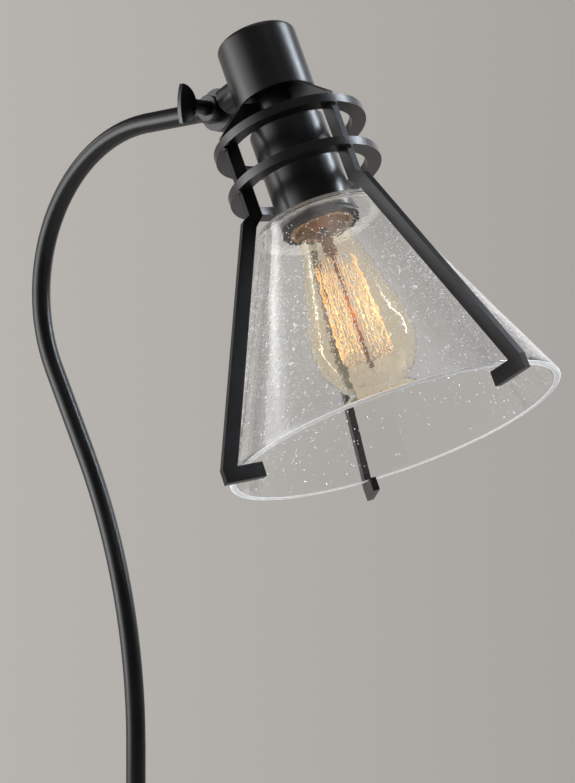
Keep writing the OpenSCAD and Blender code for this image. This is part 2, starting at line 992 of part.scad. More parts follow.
// Screw cap: a thin metal shell with a contact at its end
module bulb_cap() {
    crown = 4;
    tip_d = 11;
    tip_rim = 1;
    wall = 0.6;
    color("#c9a35a")
        on_head()
            translate([0, 0, bulb_neck_z]) {
                rotate_extrude()
                    polygon([
                        [bulb_cap_d / 2, 0],
                        [bulb_cap_d / 2, bulb_cap_h - crown],
                        [tip_d / 2, bulb_cap_h],
                        [0, bulb_cap_h],
                        [0, bulb_cap_h - wall],
                        [tip_d / 2 - wall, bulb_cap_h - wall],
                        [bulb_cap_d / 2 - wall, bulb_cap_h - crown - wall],
                        [bulb_cap_d / 2 - wall, 0]
                    ]);
                translate([0, 0, bulb_cap_h])
                    cylinder(d = tip_d - 2 * tip_rim, h = contact_gap);
            }
}

// Glass mount: a flare sealed in the neck, the pressed rod and the thin stem with its end bead
module bulb_stem() {
    press_d = 8;
    flare_h = 6;
    low = fil_low - support_rise - stem_over;
    press_z = fil_high + support_rise + stem_over - cut;
    color("#e6ddc8")
        on_head()
            translate([0, 0, bulb_tip_z]) {
                translate([0, 0, bulb_len - flare_h])
                    cylinder(d1 = press_d, d2 = bulb_neck_d - 2 * bulb_t - 2 * pass, h = flare_h);
                translate([0, 0, press_z])
                    cylinder(d = press_d, h = bulb_len - flare_h - press_z);
                translate([0, 0, low])
                    cylinder(d = stem_d, h = press_z + cut - low);
                translate([0, 0, low])
                    sphere(d = stem_bead);
            }
}

// End of a filament strand, at the cage's lower or upper rim
function strand_end(i, low) =
    let (r = low ? fil_low_r : fil_high_r, a = i * 360 / (strands + 1))
    [r * cos(a), r * sin(a), low ? fil_low : fil_high];

// The filament runs up one strand and down the next, with a short bridge between them
fil_path = [for (i = [0 : strands - 1], end = [0, 1]) strand_end(i, (i + end) % 2 == 0)];

// Places where a support wire holds the filament: the middles of its bridges and its two ends
fil_holds = concat([fil_path[0]],
    [for (i = [1 : 2 : len(fil_path) - 3]) (fil_path[i] + fil_path[i + 1]) / 2],
    [fil_path[len(fil_path) - 1]]);

// Round rod between two points
module rod(p, q, d) {
    v = q - p;
    translate(p)
        rotate([0, acos(v[2] / norm(v)), atan2(v[1], v[0])])
            cylinder(d = d, h = norm(v), $fn = 24);
}

// Closed tube along a path: each ring of points slides along its stretch to the next bend's mitre
module wire(path, d, sides = 8) {
    last = len(path) - 1;
    along = [for (i = [0 : last - 1]) (path[i + 1] - path[i]) / norm(path[i + 1] - path[i])];
    mitre = [for (i = [0 : last]) along[max(i - 1, 0)] + along[min(i, last - 1)]];
    side = cross(along[0], [0, 0, 1]) / norm(cross(along[0], [0, 0, 1]));
    start = [for (j = [0 : sides - 1])
        path[0] + d / 2 * (cos(j * 360 / sides) * side + sin(j * 360 / sides) * cross(along[0], side))];
    rings = [for (i = 0, ring = start; i <= last;
            ring = [for (q = ring) i < last ? slide(q, along[i], path[i + 1], mitre[i + 1]) : q],
            i = i + 1)
        ring];
    walls = [for (i = [0 : last - 1], j = [0 : sides - 1])
        let (k = (j + 1) % sides)
        [i * sides + j, (i + 1) * sides + j, (i + 1) * sides + k, i * sides + k]];
    polyhedron([for (ring = rings, q = ring) q],
        concat([[for (j = [0 : sides - 1]) j]], walls,
            [[for (j = [sides - 1 : -1 : 0]) last * sides + j]]));
}

// Moves a point along a direction until it meets the plane through a point with a normal
function slide(q, along, point, normal) = q + along * ((point - q) * normal / (along * normal));

module bulb_supports() {
    color("#8a8174")
        on_head()
            translate([0, 0, bulb_tip_z])
                for (p = fil_holds) {
                    out = [p[0], p[1], 0] / norm([p[0], p[1]]);
                    rise = p[2] > fil_low ? support_rise : -support_rise;
                    foot = out * (stem_d / 2 + 2 * fit) + [0, 0, p[2] + rise];
                    rod(foot, p - (p - foot) / norm(p - foot) * (fil_d / 2 + 2 * fit), support_d);
                }
}

module bulb_filament() {
    color("#ffb45a")
        on_head()
            translate([0, 0, bulb_tip_z])
                wire(fil_path, fil_d);
}

base_pad();
base_weight();
base_cover();
base_washer();
base_nut();
base_nipple();
cord_grommet();
pole_flange();
pole_insert();
pole_lower();
pole_sleeve();
pole_upper();
switch_housing();
switch_body();
switch_nut();
switch_knob();
pole_lead();
arm_tube();
arm_lead();
swivel_arm_half();
swivel_head_half();
swivel_washer();
swivel_nut();
thumb_screw();
head_cap();
cap_plate();
cap_nut();
head_nipple();
head_lead();
neck_spacer();
socket_cup();
cage_ring_lower();
cage_ring_upper();
strap_middle();
strap_front();
strap_rear();
socket_body();
socket_shell();
socket_contact();
shade_ring();
glass_shade();
bulb_glass();
bulb_cap();
bulb_stem();
bulb_supports();
bulb_filament();
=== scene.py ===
import json
import math
import random

import bmesh
import bpy
from mathutils import Matrix, Vector, noise


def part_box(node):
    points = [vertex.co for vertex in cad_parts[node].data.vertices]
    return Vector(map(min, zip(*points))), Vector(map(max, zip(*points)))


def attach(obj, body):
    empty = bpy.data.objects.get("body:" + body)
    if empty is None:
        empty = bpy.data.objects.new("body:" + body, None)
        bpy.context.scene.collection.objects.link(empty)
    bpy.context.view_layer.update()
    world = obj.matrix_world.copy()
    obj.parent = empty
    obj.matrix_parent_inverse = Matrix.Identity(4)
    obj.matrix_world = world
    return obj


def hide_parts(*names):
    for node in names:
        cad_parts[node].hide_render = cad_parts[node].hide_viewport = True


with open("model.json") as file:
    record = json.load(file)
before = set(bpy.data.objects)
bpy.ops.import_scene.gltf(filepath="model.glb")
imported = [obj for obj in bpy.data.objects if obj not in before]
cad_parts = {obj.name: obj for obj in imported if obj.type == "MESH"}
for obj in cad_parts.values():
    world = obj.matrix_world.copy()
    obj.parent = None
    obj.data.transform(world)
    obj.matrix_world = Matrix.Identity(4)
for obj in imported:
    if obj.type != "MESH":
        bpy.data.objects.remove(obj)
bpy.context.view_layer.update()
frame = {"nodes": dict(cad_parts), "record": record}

MM = 0.001

# Camera of the photograph
IMAGE_W = 575  # pixels
FOCAL_PX = 1761.4
SENSOR_MM = 36.0
CAMERA_HEADING = math.radians(40.75)
CAMERA_FROM_MOUTH = Vector((0.6212, -0.8181, 0.0256))
CLIP_END = 50  # metres

# Shade, in the head's frame: origin at the mouth's centre, height s along the axis, radius r
SHADE_R = 102 * MM
SHADE_TOP_R = 40 * MM
SHADE_H = 142 * MM
GLASS_T = 4 * MM
SHADE_CORNER = 6 * MM  # radius of the top's outer corner
INNER_CORNER = 3.6 * MM
RIM_ROUND = 1.3 * MM
SHADE_HOLE_R = 20.2 * MM
SLOPE = (SHADE_R - SHADE_TOP_R) / SHADE_H
SLANT = math.atan(SLOPE)
GLASS_WAVE = 0.14 * MM  # most that the wall is uneven
WAVE_SCALE = 45  # waves per metre
CORNER_H = 5 * MM  # depth below the top of the cloudier glass at its corner
CORNER_R = 33 * MM  # least radius of that glass

# Steps in the shade's half section
RIM_STEPS = 6
WALL_STEPS = 40
CORNER_STEPS = 10
INNER_STEPS = 8  # round the inner corner
TOP_STEPS = 5

# Seeds in the shade's wall
SEEDS = 9600  # drawn, of which the glass keeps a share
SEED_DRAW = 7  # start of the random draws
SEED_LEAST = 0.3 * MM  # least radius
SEED_SPREAD = 0.4 * MM  # how much larger the largest are
SEED_STRETCH = 0.4  # how much longer than wide the longest are
SEED_DEPTH = (0.35, 0.65)  # where they lie in the wall, as shares of it
SEED_END = 4 * MM  # height where they start
SEED_RIM_SHARE = 0.14  # share that the glass keeps at its rim
SEED_FULL_H = 95 * MM  # height from which it keeps them all
SEED_TOP_FADE = 34 * MM  # depth below its top within which they thin out again

# Drift of clearer glass in the wall's lower part
DRIFT_AT = 118  # degrees about the head's axis
DRIFT_HALF = 34  # half its width in degrees
DRIFT_SHARE = 0.3  # share of the seeds' increase with height that its middle keeps

# Cage and its weld beads
RING_LIFT = 24.4 * MM  # lower ring's underside above the glass
RING_PITCH = 29 * MM
RING_T = 5.5 * MM
STRAP_OUT = 46.6 * MM  # straps' outer edge, beside the rings
STRAP_ANGLES = (-112, -12.5, 140)  # degrees about the head's axis
BEAD_R = (1.5 * MM, 2.6 * MM, 1.5 * MM)  # half sizes outward, along the ring and upward
BEAD_INSET = 0.2 * MM  # centre inside the straps' outer edge
BEAD_DROP = 0.3 * MM  # centre below the ring's underside
BEAD_LUMP = 0.12  # how uneven a bead is, as a share of its size
LUMP_SCALE = 1.7
LUMP_SHIFT = 900  # sets one bead's lumps apart from the next one's

# Bulb
BULB_R = 32 * MM
BULB_LEN = 114 * MM
BULB_BELLY = 37 * MM  # widest place above its tip
BULB_NECK_R = 13.5 * MM
BULB_WAIST = 0.18  # how far its shoulder is drawn in
BULB_T = 0.9 * MM
BULB_SEAT = 1 * MM  # neck's end above the underside of the shade's top
BULB_TIP = SHADE_H - GLASS_T + BULB_SEAT - BULB_LEN
BULB_STEPS = 40  # in each of its half section's two parts
TIP_STEP = 0.15  # share of a step that keeps its first point off the axis
TIP_R = 0.3 * MM  # least radius inside

# Light that the filament gives
GLOW_RISE = 54 * MM  # above the bulb's tip
GLOW_R = 9 * MM
GLOW_POWER = 0.14
GLOW_COLOUR = (1.0, 0.78, 0.5)

# Filament: one wire on the solid's cage
WIRE_R = 0.18 * MM
WIRE_SIDES = 6
CAGE_LOW = 26 * MM  # cage's ends above the bulb's tip
CAGE_HIGH = 86 * MM
CAGE_LOW_R = 15.5 * MM
CAGE_HIGH_R = 12.5 * MM
STRANDS = 39
STRAND_STEP = 2 * math.pi / 42  # half the solid's, so that every support wire still meets it
STRAND_DRAW = 11  # start of the random draws
STRAND_PARTS = 8
STRAND_BOW = 0.7 * MM  # most that a strand bows either way

# Backdrop and fill
BACKDROP_LEFT = (0.485, 0.465, 0.435)
BACKDROP_RIGHT = (0.385, 0.365, 0.35)
TONE_SPAN = (-0.2, 0.2)  # cosines to the right between which one tone becomes the other
ROOM_SHARE = 0.22  # share of the tones that gloss sees in the rest of the room
AHEAD_SPAN = (-0.5, 0.3)  # cosines ahead between which the room becomes the backdrop
UP_SPAN = (0.2, 0.5)  # cosines upward between which the backdrop becomes the room
FILL = 0.22

# Floor
FLOOR_RADIUS = 3.6
FLOOR_HOLE_R = 1 * MM
FLOOR_TONES = ((0.52, 0.50, 0.47), (0.56, 0.54, 0.51))
FLOOR_CLOUD = 3.0  # changes of tone per metre
FLOOR_ROUGH = 0.8
FLOOR_LIFT = 0.55  # strength that lifts what is seen of it

# Panels: degrees right of the camera and up, distance, size, edge, radiance and colour
PANELS = {
    "left_panel": (-80, 2, 1.7, (2.7, 1.8), 0.2, 1.8, (1.0, 0.99, 0.98)),
    "left_window": (-84, -8, 1.65, (1.15, 1.15), 0.16, 4.6, (0.95, 0.98, 1.0)),
    "left_patch": (-117, 25, 1.7, (0.55, 0.4), 0.2, 3.4, (1.0, 1.0, 1.0)),
    "right_strip": (108, 31, 1.6, (0.14, 1.6), 0.2, 66.0, (0.82, 0.9, 1.0)),
    "rear_sheet": (150, 8, 1.9, (1.2, 1.6), 0.2, 1.0, (0.95, 0.96, 1.0)),
    "top_panel": (-10, 75, 1.8, (1.6, 1.2), 0.2, 1.2, (1.0, 1.0, 1.0)),
    "bulb_window": (-118, 20, 1.7, (0.8, 0.7), 0.1, 1.5, (0.95, 1.0, 1.0)),
    "bulb_strip": (108, 30, 1.6, (0.16, 1.2), 0.2, 36.0, (1.0, 0.98, 0.95)),
}

# Panels that nothing behind the shade's wall reflects, and those that nothing else does
OUTSIDE_PANELS = ("rear_sheet", "right_strip")
BULB_PANELS = ("bulb_window", "bulb_strip")

# Sides of a turned piece
LATHE_SIDES = 160
PLAIN_SIDES = 96  # the bulb's and the floor's

# Values that the materials share
NOISE_ROUGHNESS = 0.6
NOISE_LOW, NOISE_HIGH = 0.3, 0.7  # where most of a noise's values lie
BEVEL_SAMPLES = 4
GLASS_HAZE = 0.015  # how much rougher glass is in places
COIL_SCALE = 420.0  # changes of a wire's glow per metre
COIL_SPAN = (0.38, 0.62)  # noise between which its glow changes


# The head's frame, from the two cage rings

def centre(node):
    low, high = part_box(node)
    return (low + high) / 2


ring_low = centre("cage_ring_lower")
head_axis = (centre("cage_ring_upper") - ring_low).normalized()
mouth = ring_low - head_axis * (SHADE_H + RING_LIFT + RING_T / 2)
head_side = Vector((0, 1, 0))
HEAD = Matrix((head_side.cross(head_axis), head_side, head_axis)).transposed().to_4x4()
HEAD.translation = mouth


# Camera

camera_data = bpy.data.cameras.new("camera")
camera_data.sensor_fit = "HORIZONTAL"
camera_data.sensor_width = SENSOR_MM
camera_data.lens = FOCAL_PX / IMAGE_W * SENSOR_MM
camera_data.clip_end = CLIP_END
camera = bpy.data.objects.new("camera", camera_data)
camera.location = mouth + CAMERA_FROM_MOUTH
camera.rotation_euler = (math.pi / 2, 0, CAMERA_HEADING)
bpy.context.scene.collection.objects.link(camera)
bpy.context.scene.camera = camera


# Mesh helpers

def arc(c_r, c_s, radius, start, end, steps):
    """Points of an arc in a half section, angles in degrees from the outward direction."""
    angles = [math.radians(start + (end - start) * i / steps) for i in range(steps + 1)]
    return [(c_r + radius * math.cos(a), c_s + radius * math.sin(a)) for a in angles]


def line(p, q, steps):
    """Points between two ends of a half section, without the ends."""
    return [(p[0] + (q[0] - p[0]) * i / steps, p[1] + (q[1] - p[1]) * i / steps)
            for i in range(1, steps)]


def ball(subdivisions):
    """Points and faces of a ball of radius 1."""
    whole = bmesh.new()
    bmesh.ops.create_icosphere(whole, subdivisions=subdivisions, radius=1.0)
    points = [v.co.copy() for v in whole.verts]
    faces = [[v.index for v in f.verts] for f in whole.faces]
    whole.free()
    return points, faces


def add_mesh(name, vertices, faces, matrix, outward=True):
    """Mesh object with smooth shading; outward turns every face away from the inside."""
    mesh = bpy.data.meshes.new(name)
    mesh.from_pydata([matrix @ Vector(v) for v in vertices], [], faces)
    mesh.validate()
    if outward:
        clean = bmesh.new()
        clean.from_mesh(mesh)
        bmesh.ops.recalc_face_normals(clean, faces=clean.faces)
        clean.to_mesh(mesh)
        clean.free()
    mesh.shade_smooth()
    piece = bpy.data.objects.new(name, mesh)
    bpy.context.scene.collection.objects.link(piece)
    return piece


def lathe(name, profile, matrix, sides=LATHE_SIDES, bend=None, closed=True):
    """Revolves a half section of (r, s) points; bend may move each point."""
    vertices = []
    for i in range(sides):
        a = 2 * math.pi * i / sides
        for r, s in profile:
            point = Vector((r * math.cos(a), r * math.sin(a), s))
            vertices.append(bend(point) if bend else point)
    count = len(profile)
    spans = count if closed else count - 1
    faces = []
    for i in range(sides):
        k = (i + 1) % sides
        for j in range(spans):
            n = (j + 1) % count
            faces.append((i * count + j, k * count + j, k * count + n, i * count + n))
    return add_mesh(name, vertices, faces, matrix)


# Node helpers

def new_material(name):
    material = bpy.data.materials.new(name)
    material.use_nodes = True
    return material, material.node_tree.nodes, material.node_tree.links


def shader(nodes):
    return nodes["Principled BSDF"]


def noise_node(nodes, links, scale, detail):
    """Noise over the object's own coordinates, scale in features per metre."""
    place = nodes.new("ShaderNodeTexCoord")
    texture = nodes.new("ShaderNodeTexNoise")
    texture.inputs["Scale"].default_value = scale
    texture.inputs["Detail"].default_value = detail
    texture.inputs["Roughness"].default_value = NOISE_ROUGHNESS
    links.new(place.outputs["Object"], texture.inputs["Vector"])
    return texture.outputs["Fac"]


def ramp(nodes, links, value, low, high, start=NOISE_LOW, end=NOISE_HIGH):
    """Colour that goes from low to high as value goes from start to end."""
    node = nodes.new("ShaderNodeValToRGB")
    node.color_ramp.elements[0].position = start
    node.color_ramp.elements[0].color = (*low, 1)
    node.color_ramp.elements[1].position = end
    node.color_ramp.elements[1].color = (*high, 1)
    links.new(value, node.inputs["Fac"])
    return node.outputs["Color"]


def spread(nodes, links, value, low, high, start=NOISE_LOW, end=NOISE_HIGH):
    """Number that goes from low to high as value goes from start to end."""
    node = nodes.new("ShaderNodeMapRange")
    node.inputs["From Min"].default_value = start
    node.inputs["From Max"].default_value = end
    node.inputs["To Min"].default_value = low
    node.inputs["To Max"].default_value = high
    links.new(value, node.inputs["Value"])
    return node.outputs["Result"]


def combine(nodes, links, operation, *values):
    """Result of a math operation on two values, each a socket or a plain number."""
    node = nodes.new("ShaderNodeMath")
    node.operation = operation
    for socket, value in zip(node.inputs, values):
        if isinstance(value, (int, float)):
            socket.default_value = value
        else:
            links.new(value, socket)
    return node.outputs["Value"]


def rough_surface(nodes, links, value, height, edge=0.0):
    """Normal of a surface with a fine relief of that height, with its edges rounded by edge."""
    bump = nodes.new("ShaderNodeBump")
    bump.inputs["Strength"].default_value = 1.0
    bump.inputs["Distance"].default_value = height
    links.new(value, bump.inputs["Height"])
    if edge:
        bevel = nodes.new("ShaderNodeBevel")
        bevel.samples = BEVEL_SAMPLES
        bevel.inputs["Radius"].default_value = edge
        links.new(bevel.outputs["Normal"], bump.inputs["Normal"])
    return bump.outputs["Normal"]


# Materials

def textured(name, low, high, rough, metallic=0.0, grain=900.0, relief=0.01 * MM, edge=0.3 * MM,
             specular=0.5, cloud=35.0):
    """A surface whose relief varies with a fine noise, and its colour and roughness with a broad
    one; grain and cloud are their features per metre."""
    material, nodes, links = new_material(name)
    bsdf = shader(nodes)
    fine = noise_node(nodes, links, grain, detail=3.0)
    broad = noise_node(nodes, links, cloud, detail=5.0)
    links.new(ramp(nodes, links, broad, low, high), bsdf.inputs["Base Color"])
    links.new(spread(nodes, links, broad, *rough), bsdf.inputs["Roughness"])
    links.new(rough_surface(nodes, links, fine, relief, edge), bsdf.inputs["Normal"])
    bsdf.inputs["Metallic"].default_value = metallic
    bsdf.inputs["Specular IOR Level"].default_value = specular
    return material


def clear_glass(name, tint, clarity, ior=1.5, rough=0.0, relief=0.02 * MM, ripple=60.0,
                painted_glow=0.0):
    """Glass; clarity below 1 scatters the rest of the light, as a ground edge or a cloud of seeds
    does. Its emission is a painted glow that stands in for the light that the wall carries to
    its rim."""
    material, nodes, links = new_material(name)
    bsdf = shader(nodes)
    broad = noise_node(nodes, links, ripple, detail=2.0)
    links.new(spread(nodes, links, broad, rough, rough + GLASS_HAZE), bsdf.inputs["Roughness"])
    links.new(rough_surface(nodes, links, broad, relief), bsdf.inputs["Normal"])
    bsdf.inputs["Base Color"].default_value = (*tint, 1)
    bsdf.inputs["IOR"].default_value = ior
    bsdf.inputs["Transmission Weight"].default_value = clarity
    # Painted glow: an emission in the glass's tint, standing in for light carried to the rim
    bsdf.inputs["Emission Color"].default_value = (*tint, 1)
    bsdf.inputs["Emission Strength"].default_value = painted_glow
    return material


def glowing_wire(name, metal, cool, hot, strength):
    """Wire that glows between two colours along its length."""
    material, nodes, links = new_material(name)
    bsdf = shader(nodes)
    coil = noise_node(nodes, links, COIL_SCALE, detail=3.0)
    links.new(ramp(nodes, links, coil, cool, hot, *COIL_SPAN), bsdf.inputs["Emission Color"])
    bsdf.inputs["Base Color"].default_value = (*metal, 1)
    bsdf.inputs["Emission Strength"].default_value = strength
    return material


COAT = {"low": (0.004, 0.004, 0.0045), "high": (0.007, 0.007, 0.0075), "relief": 0.008 * MM,
        "edge": 0.35 * MM}
BLACK = textured("powder_coat_black", rough=(0.30, 0.35), grain=1600.0, **COAT)
STAND_BLACK = textured("stand_coat_black", rough=(0.29, 0.34), grain=1600.0, specular=0.36, **COAT)
STRAP_BLACK = textured("strap_coat_black", rough=(0.30, 0.36), grain=1500.0, specular=0.25, **COAT)
STEEL = textured("zinc_steel", (0.52, 0.52, 0.53), (0.66, 0.66, 0.67), (0.28, 0.42), metallic=1.0)
IRON = textured("cast_iron", (0.05, 0.05, 0.052), (0.10, 0.095, 0.09), (0.6, 0.8), grain=500.0,
                relief=0.15 * MM)
FELT = textured("felt", (0.02, 0.02, 0.02), (0.05, 0.05, 0.05), (0.9, 1.0), grain=1400.0,
                relief=0.3 * MM)
RUBBER = textured("rubber", (0.012, 0.012, 0.012), (0.022, 0.022, 0.022), (0.55, 0.7),
                  relief=0.02 * MM)
BAKELITE = textured("bakelite", (0.010, 0.010, 0.010), (0.018, 0.017, 0.016), (0.28, 0.42))
RING_BLACK = textured("matt_ring", (0.003, 0.003, 0.003), (0.006, 0.006, 0.006), (0.5, 0.6),
                      specular=0.25)
PHENOLIC = textured("brown_phenolic", (0.05, 0.024, 0.007), (0.26, 0.15, 0.055), (0.25, 0.45),
                    relief=0.02 * MM, cloud=260.0)
LEAD = textured("insulation", (0.62, 0.60, 0.54), (0.74, 0.72, 0.66), (0.4, 0.5), relief=0.02 * MM)
FIBRE = textured("pressed_fibre", (0.03, 0.027, 0.024), (0.05, 0.045, 0.04), (0.7, 0.85),
                 relief=0.05 * MM)
BRASS = textured("brass", (0.62, 0.43, 0.17), (0.78, 0.58, 0.28), (0.22, 0.36), metallic=1.0)
WIRE = textured("support_wire", (0.30, 0.26, 0.22), (0.42, 0.38, 0.32), (0.3, 0.45), metallic=1.0,
                edge=0.0)
SHADE_GLASS = clear_glass("seeded_glass", (0.985, 0.99, 0.99), clarity=0.995, relief=0.12 * MM,
                          ripple=130.0)
# The rim's glass: a ground edge that scatters light, with a painted glow given by its emission
RIM_GLASS_PAINTED_GLOW = clear_glass("ground_rim_painted_glow", (0.97, 0.98, 0.98), clarity=0.55, rough=0.35, painted_glow=0.18)
CORNER_GLASS = clear_glass("pressed_corner", (0.97, 0.98, 0.98), clarity=0.88, rough=0.3)
SEED_GLASS = clear_glass("glass_seed", (0.98, 0.98, 0.98), clarity=0.82, rough=0.3)
BULB_GLASS = clear_glass("amber_glass", (1.0, 0.945, 0.83), clarity=0.988, ior=1.45)
STEM_GLASS = clear_glass("stem_glass", (0.21, 0.085, 0.024), clarity=0.6)
FILAMENT = glowing_wire("filament", (0.3, 0.2, 0.1), (0.66, 0.23, 0.05), (1.0, 0.70, 0.34), 1.15)

# Finish of each material slot, and the nodes whose black is another than their slot's
FINISH = {
    "steel": STEEL, "iron": IRON, "felt": FELT, "rubber": RUBBER, "bakelite": BAKELITE,
    "lead": LEAD, "phenolic": PHENOLIC, "friction": FIBRE, "brass": BRASS,
    "shade_glass": SHADE_GLASS, "bulb_glass": BULB_GLASS, "stem_glass": STEM_GLASS,
    "wire": WIRE, "filament": FILAMENT, "black_metal": BLACK,
}
STAND_NAMES = ("base", "pole", "arm", "switch")
OWN_FINISH = {"shade_ring": RING_BLACK, "strap_middle": STRAP_BLACK, "strap_front": STRAP_BLACK,
              "strap_rear": STRAP_BLACK}

for part in frame["record"]["subparts"]:
    node = part["node"]
    data = frame["nodes"][node].data
    data.materials.clear()
    finish = OWN_FINISH.get(node, FINISH[part["material_slot"]])
    on_stand = finish is BLACK and node.startswith(STAND_NAMES)
    data.materials.append(STAND_BLACK if on_stand else finish)
frame["nodes"]["bulb_stem"].visible_shadow = False


# Glass shade: a flat-topped cone, fire-polished edges, a painted rim glow and a slightly uneven
# wall

def shade_profile():
    """Half section of the glass, up the outside and down the inside."""
    wall = GLASS_T / math.cos(SLANT)
    tilt = math.degrees(SLANT)
    corner_r = SHADE_TOP_R + SLOPE * SHADE_CORNER - SHADE_CORNER / math.cos(SLANT)
    inner_s = SHADE_H - GLASS_T - INNER_CORNER
    inner_r = SHADE_R - wall - SLOPE * inner_s - INNER_CORNER / math.cos(SLANT)
    out_rim = (SHADE_R - SLOPE * RIM_ROUND - RIM_ROUND / math.cos(SLANT), RIM_ROUND)
    in_rim = (SHADE_R - wall - SLOPE * RIM_ROUND + RIM_ROUND / math.cos(SLANT), RIM_ROUND)
    outer_rim = arc(*out_rim, RIM_ROUND, -90, tilt, RIM_STEPS)
    outer_top = arc(corner_r, SHADE_H - SHADE_CORNER, SHADE_CORNER, tilt, 90, CORNER_STEPS)
    inner_top = arc(inner_r, inner_s, INNER_CORNER, 90, tilt, INNER_STEPS)
    inner_rim = arc(*in_rim, RIM_ROUND, 180 + tilt, 270, RIM_STEPS)
    hole = [(SHADE_HOLE_R, SHADE_H), (SHADE_HOLE_R, SHADE_H - GLASS_T)]
    outside = outer_rim + line(outer_rim[-1], outer_top[0], WALL_STEPS) + outer_top
    top = line(outer_top[-1], hole[0], TOP_STEPS) + hole + line(hole[1], inner_top[0], TOP_STEPS)
    inside = inner_top + line(inner_top[-1], inner_rim[0], WALL_STEPS) + inner_rim
    return outside + top + inside


def uneven(point):
    """Moves a point of the glass by a hair, as a blown wall is."""
    push = GLASS_WAVE * noise.noise(point * WAVE_SCALE)
    flat = Vector((point.x, point.y, 0))
    return point + flat.normalized() * push


shade = lathe("shade_glass", shade_profile(), HEAD, bend=uneven)
for glass in (SHADE_GLASS, RIM_GLASS_PAINTED_GLOW, CORNER_GLASS):
    shade.data.materials.append(glass)
rim_glow_slot, corner_slot = 1, 2
to_head = HEAD.inverted()
# Faces at the rim take the rim's glass with its painted glow, and those at the top corner the
# cloudier glass
for face in shade.data.polygons:
    spot = to_head @ face.center
    if spot.z < RIM_ROUND:
        face.material_index = rim_glow_slot
    elif spot.z > SHADE_H - CORNER_H and spot.xy.length > CORNER_R:
        face.material_index = corner_slot
shade.visible_shadow = False
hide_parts("glass_shade")
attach(shade, "head")


# Seeds: air bubbles in the wall, drawn long where the glass was pulled

def seed_cloud(count):
    """Small balls in the wall, fewer toward its rim, toward its top and in the drift."""
    draw = random.Random(SEED_DRAW)
    vertices, faces = [], []
    points, sides = ball(subdivisions=1)
    least_r = SHADE_TOP_R + SLOPE * SHADE_CORNER
    most_r = SHADE_R - SLOPE * SEED_END
    for _ in range(count):
        out_r = math.sqrt(draw.uniform(least_r ** 2, most_r ** 2))
        s = (SHADE_R - out_r) / SLOPE
        a = draw.uniform(0, 2 * math.pi)
        size = SEED_LEAST + SEED_SPREAD * draw.random() ** 2
        stretch = 1 + SEED_STRETCH * draw.random() ** 2
        r = out_r - draw.uniform(*SEED_DEPTH) * GLASS_T / math.cos(SLANT)
        off = abs((math.degrees(a) - DRIFT_AT + 180) % 360 - 180)
        kept = min(1.0, off / DRIFT_HALF) ** 2
        rise = (1 - SEED_RIM_SHARE) * s / SEED_FULL_H * (DRIFT_SHARE + (1 - DRIFT_SHARE) * kept)
        low_share = min(1.0, SEED_RIM_SHARE * kept + rise)
        top_share = min(1.0, (SHADE_H - s) / SEED_TOP_FADE) ** 2
        if draw.random() > low_share * top_share:
            continue
        place = Vector((r * math.cos(a), r * math.sin(a), s))
        along = Vector((-SLOPE * math.cos(a), -SLOPE * math.sin(a), 1)).normalized()
        first = len(vertices)
        for p in points:
            vertices.append(place + (p + along * (p.dot(along) * (stretch - 1))) * size)
        faces.extend([tuple(first + i for i in reversed(f)) for f in sides])
    return add_mesh("glass_seeds", vertices, faces, HEAD, outward=False)


seeds = seed_cloud(SEEDS)
seeds.data.materials.append(SEED_GLASS)
seeds.visible_shadow = False
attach(seeds, "head")


# Bulb: a pear-shaped envelope with a thin wall

def bulb_radius(z):
    """Outer radius at a height above the tip."""
    if z < BULB_BELLY:
        return BULB_R * math.sqrt(max(0.0, 1 - (1 - z / BULB_BELLY) ** 2))
    t = (z - BULB_BELLY) / (BULB_LEN - BULB_BELLY)
    waist = 1 - BULB_WAIST * math.sin(math.pi * t)
    return BULB_NECK_R + (BULB_R - BULB_NECK_R) * (1 - t * t * (2 - t)) * waist


def bulb_profile():
    """Half section of the envelope, up the outside and down the inside."""
    turns = [math.pi / 2 * (i + TIP_STEP) / BULB_STEPS for i in range(BULB_STEPS)]
    low = [BULB_BELLY * (1 - math.cos(a)) for a in turns]
    high = [BULB_BELLY + (BULB_LEN - BULB_BELLY) * i / BULB_STEPS for i in range(BULB_STEPS + 1)]
    outer = [(bulb_radius(z), BULB_TIP + z) for z in low + high]
    inner = [(max(r - BULB_T, TIP_R), max(s, BULB_TIP + BULB_T)) for r, s in outer]
    return outer + inner[::-1]


bulb = lathe("bulb_envelope", bulb_profile(), HEAD, sides=PLAIN_SIDES)
bulb.data.materials.append(BULB_GLASS)
bulb.visible_shadow = False
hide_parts("bulb_glass")
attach(bulb, "head")


# Filament: one wire that runs up one strand of its cage and down the next, and its light

def filament_path():
    """Points along the wire, each with its outward direction."""
    draw = random.Random(STRAND_DRAW)
    path = []
    for k in range(STRANDS):
        out = Vector((math.cos(k * STRAND_STEP), math.sin(k * STRAND_STEP), 0))
        across = Vector((-out.y, out.x, 0))
        bow = out * draw.uniform(-STRAND_BOW, STRAND_BOW)
        bow += across * draw.uniform(-STRAND_BOW, STRAND_BOW)
        for i in range(STRAND_PARTS + 1):
            t = i / STRAND_PARTS if k % 2 == 0 else 1 - i / STRAND_PARTS
            r = CAGE_LOW_R + (CAGE_HIGH_R - CAGE_LOW_R) * t
            height = Vector((0, 0, BULB_TIP + CAGE_LOW + (CAGE_HIGH - CAGE_LOW) * t))
            path.append((out * r + height + bow * math.sin(math.pi * t), out))
    return path


